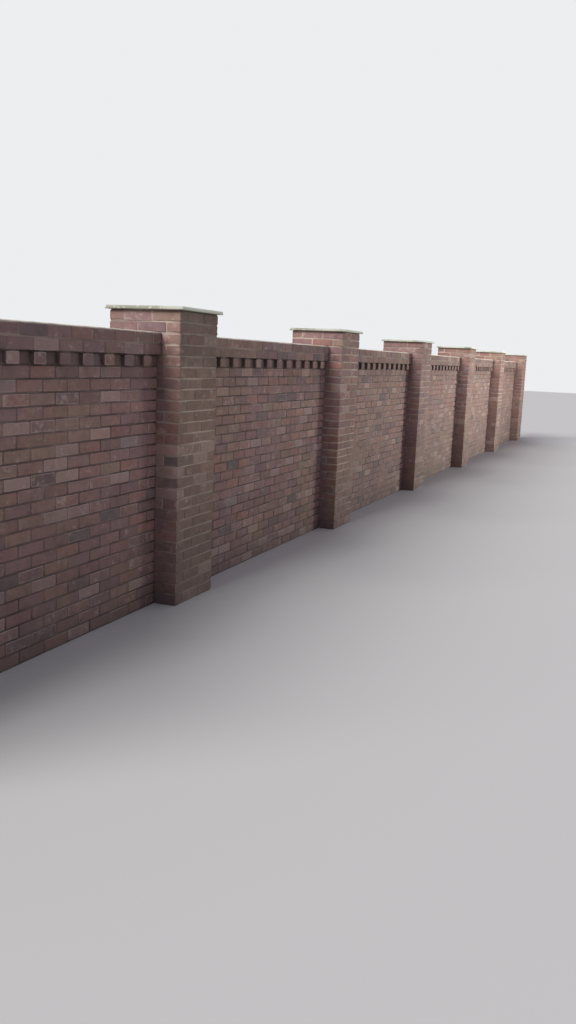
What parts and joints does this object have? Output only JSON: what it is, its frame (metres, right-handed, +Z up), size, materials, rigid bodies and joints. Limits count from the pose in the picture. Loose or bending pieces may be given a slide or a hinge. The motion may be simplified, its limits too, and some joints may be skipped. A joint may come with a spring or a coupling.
{
  "type": "brick garden wall in six bays",
  "caption": "Red-brown brick garden wall in panels between square piers, with a dentil course under an oversailing band and thin stone pier caps.",
  "frame": {"origin": "on the lowest ground line, under the centre of the middle pier", "axes": "+X along the wall, away from the viewer in the picture; -Y towards the road; +Z up"},
  "size_m": [20.8624, 0.6126, 2.058],
  "materials": {
    "brickwork": "fired clay brick, matt and slightly rough, red-brown to purple-grey",
    "mortar": "sand and cement mortar, matt",
    "cap_stone": "riven sandstone, matt, grey-green"
  },
  "bodies": {
    "root": {"pier_1_shaft": "brickwork", "pier_1_cap_bed": "mortar", "pier_1_cap": "cap_stone", "pier_2_shaft": "brickwork", "pier_2_cap_bed": "mortar", "pier_2_cap": "cap_stone", "pier_3_shaft": "brickwork", "pier_3_cap_bed": "mortar", "pier_3_cap": "cap_stone", "pier_4_shaft": "brickwork", "pier_4_cap_bed": "mortar", "pier_4_cap": "cap_stone", "pier_5_shaft": "brickwork", "pier_5_cap_bed": "mortar", "pier_5_cap": "cap_stone", "pier_6_shaft": "brickwork", "pier_6_cap_bed": "mortar", "pier_6_cap": "cap_stone", "pier_7_shaft": "brickwork", "pier_7_cap_bed": "mortar", "pier_7_cap": "cap_stone", "panel_1_wall": "brickwork", "panel_1_dentil_course": "brickwork", "panel_1_oversail_band": "brickwork", "panel_1_capping": "mortar", "panel_2_wall": "brickwork", "panel_2_dentil_course": "brickwork", "panel_2_oversail_band": "brickwork", "panel_2_capping": "mortar", "panel_3_wall": "brickwork", "panel_3_dentil_course": "brickwork", "panel_3_oversail_band": "brickwork", "panel_3_capping": "mortar", "panel_4_wall": "brickwork", "panel_4_dentil_course": "brickwork", "panel_4_oversail_band": "brickwork", "panel_4_capping": "mortar", "panel_5_wall": "brickwork", "panel_5_dentil_course": "brickwork", "panel_5_oversail_band": "brickwork", "panel_5_capping": "mortar", "panel_6_wall": "brickwork", "panel_6_dentil_course": "brickwork", "panel_6_oversail_band": "brickwork", "panel_6_capping": "mortar"}
  },
  "joints": []
}
